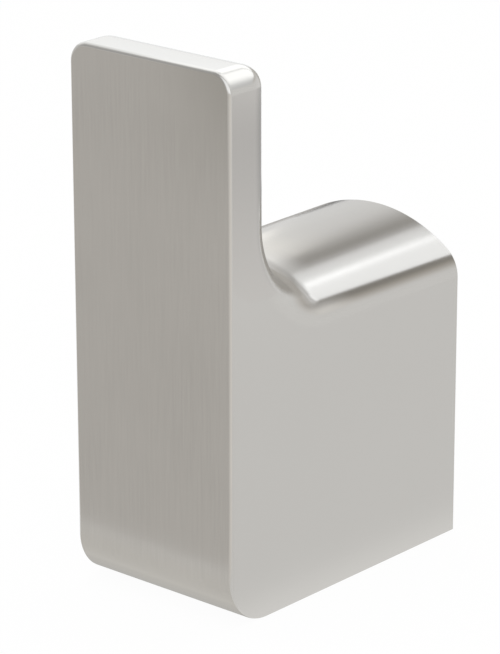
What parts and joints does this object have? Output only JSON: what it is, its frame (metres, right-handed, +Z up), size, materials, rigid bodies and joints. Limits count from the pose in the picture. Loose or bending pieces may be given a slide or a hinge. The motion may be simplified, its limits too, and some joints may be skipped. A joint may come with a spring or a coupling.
{
  "type": "robe hook",
  "caption": "Robe hook: a tall flat front plate, a round throat and an arched arm, cast in one and hung on a hidden wall bracket that a grub screw locks from below.",
  "frame": {"origin": "on the wall plane, midway between the two wall screws", "axes": "+Y into the wall, so the front plate looks along -Y; +Z up along the plate; +X to the right, seen from the front"},
  "size_m": [0.0212, 0.034, 0.055],
  "materials": {
    "brushed_nickel": "satin nickel plate on a zinc casting, brushed upright",
    "stainless_strip": "rolled stainless strip, folded",
    "screw_steel": "plain stainless set screw"
  },
  "bodies": {
    "root": {"hook_body": "brushed_nickel", "wall_bracket": "stainless_strip", "grub_screw": "screw_steel"}
  },
  "joints": []
}
